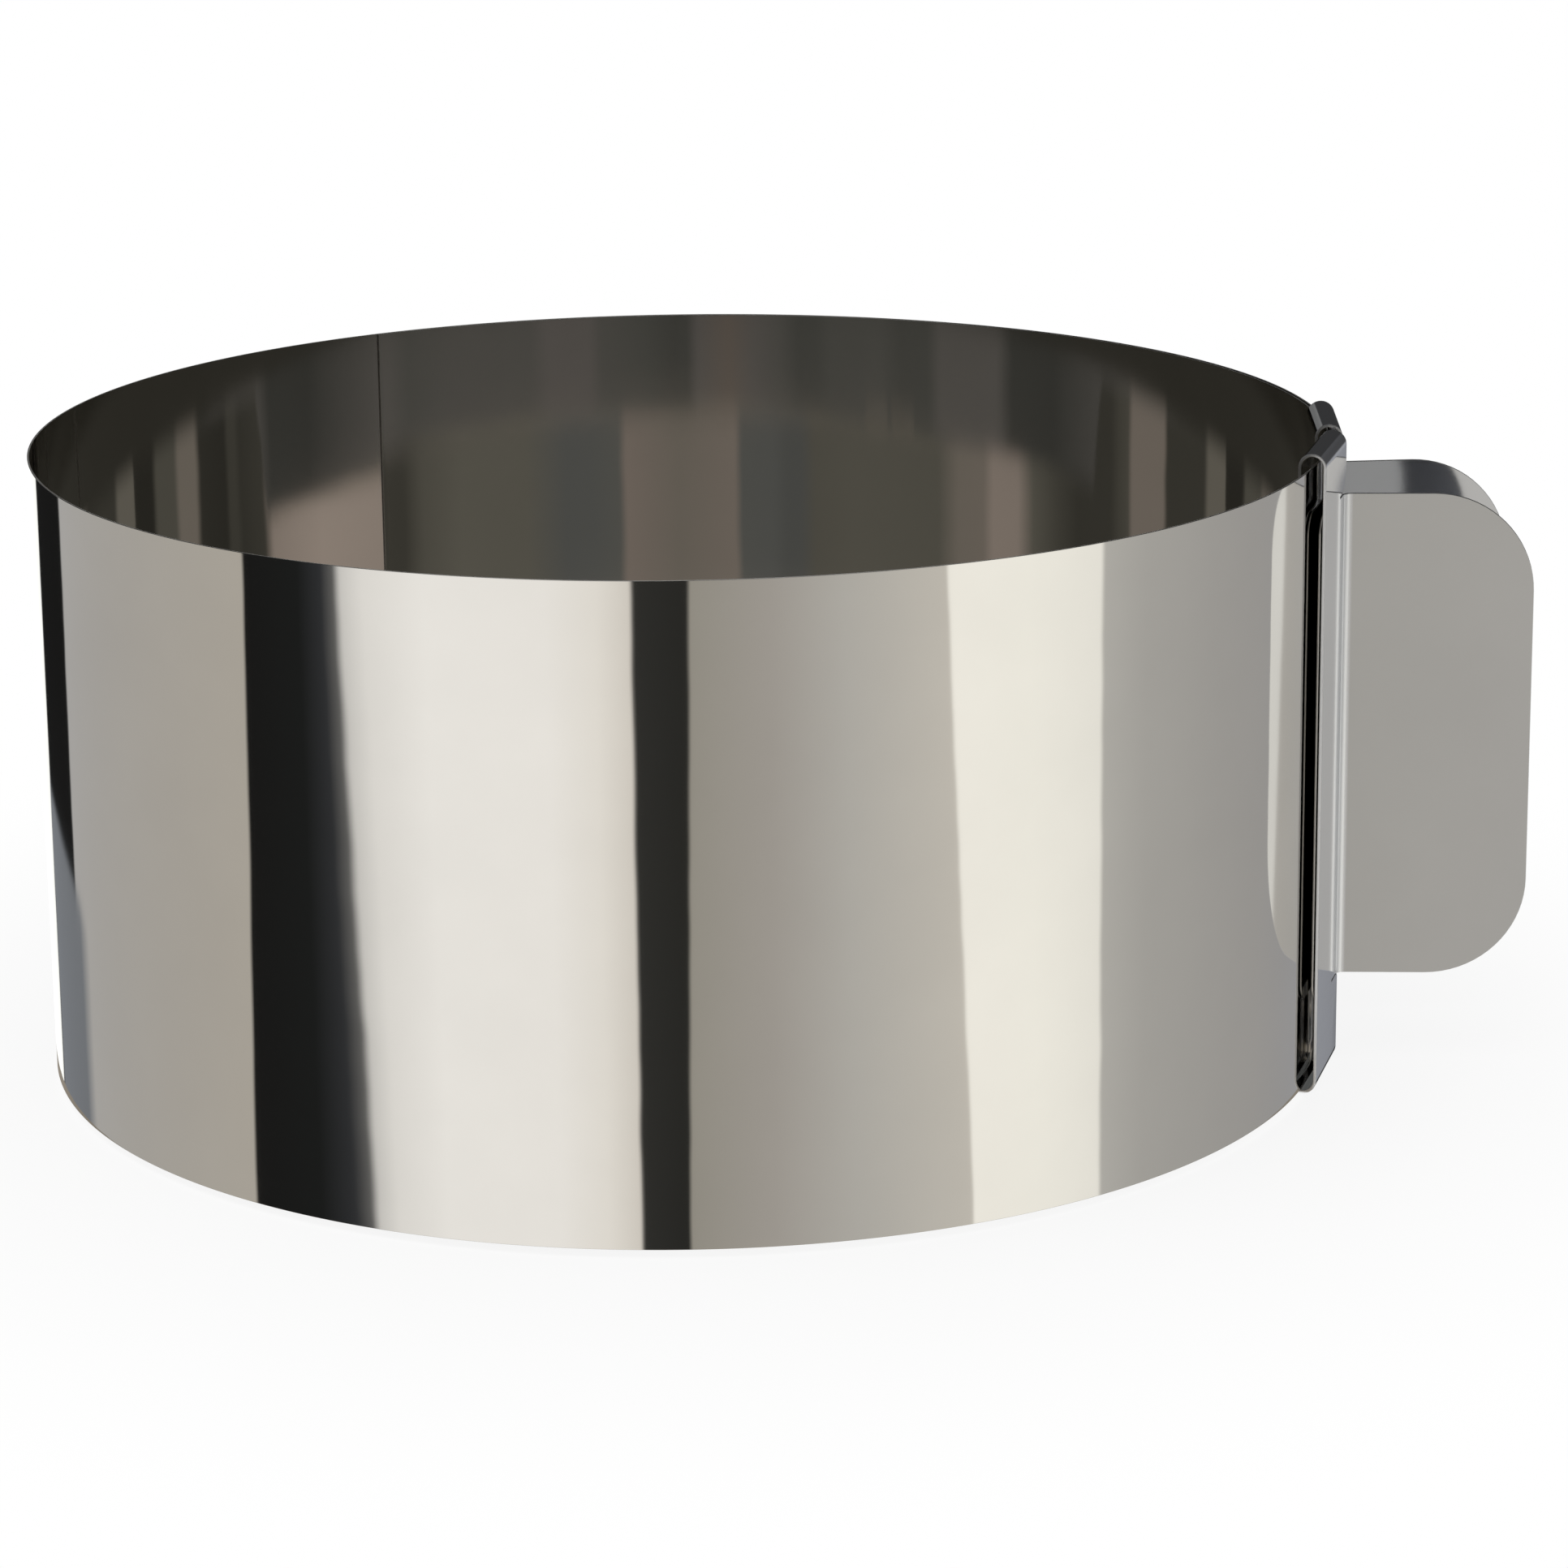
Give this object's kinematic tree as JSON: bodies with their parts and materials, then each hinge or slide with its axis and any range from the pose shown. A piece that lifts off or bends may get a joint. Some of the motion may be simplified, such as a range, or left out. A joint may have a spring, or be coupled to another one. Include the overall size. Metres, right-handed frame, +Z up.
{
  "type": "adjustable cake ring",
  "caption": "Adjustable cake ring: a tall overlapping band of polished steel strip, sized by sliding its end through a pair of hooked tab handles that grip it by tilting.",
  "frame": {"origin": "centre of the outline seen from above, at the lowest point (the underside of the lower hooks)", "axes": "+Z up along the ring's axis, +X towards the handles, -Y the side that the picture is taken from"},
  "size_m": [0.2848, 0.248, 0.1242],
  "materials": {
    "band_steel": "mirror-polished stainless steel",
    "handle_steel": "polished stainless steel sheet with cut edges"
  },
  "bodies": {
    "ring": {"band": "band_steel"},
    "front_grip": {"front_handle": "handle_steel"},
    "rear_grip": {"rear_handle": "handle_steel"}
  },
  "joints": [
    {"name": "size_adjust", "type": "hinge", "parent": "ring", "child": "front_grip", "pos_m": [-0.01857, -0.00035, 0.0616], "axis": [0, 0, 1], "range_deg": [-119, 72]},
    {"name": "lock_tilt", "type": "hinge", "parent": "front_grip", "child": "rear_grip", "pos_m": [0.10529, -0.00337, 0.0616], "axis": [0, 0, 1], "range_deg": [-1, 4.5]}
  ]
}
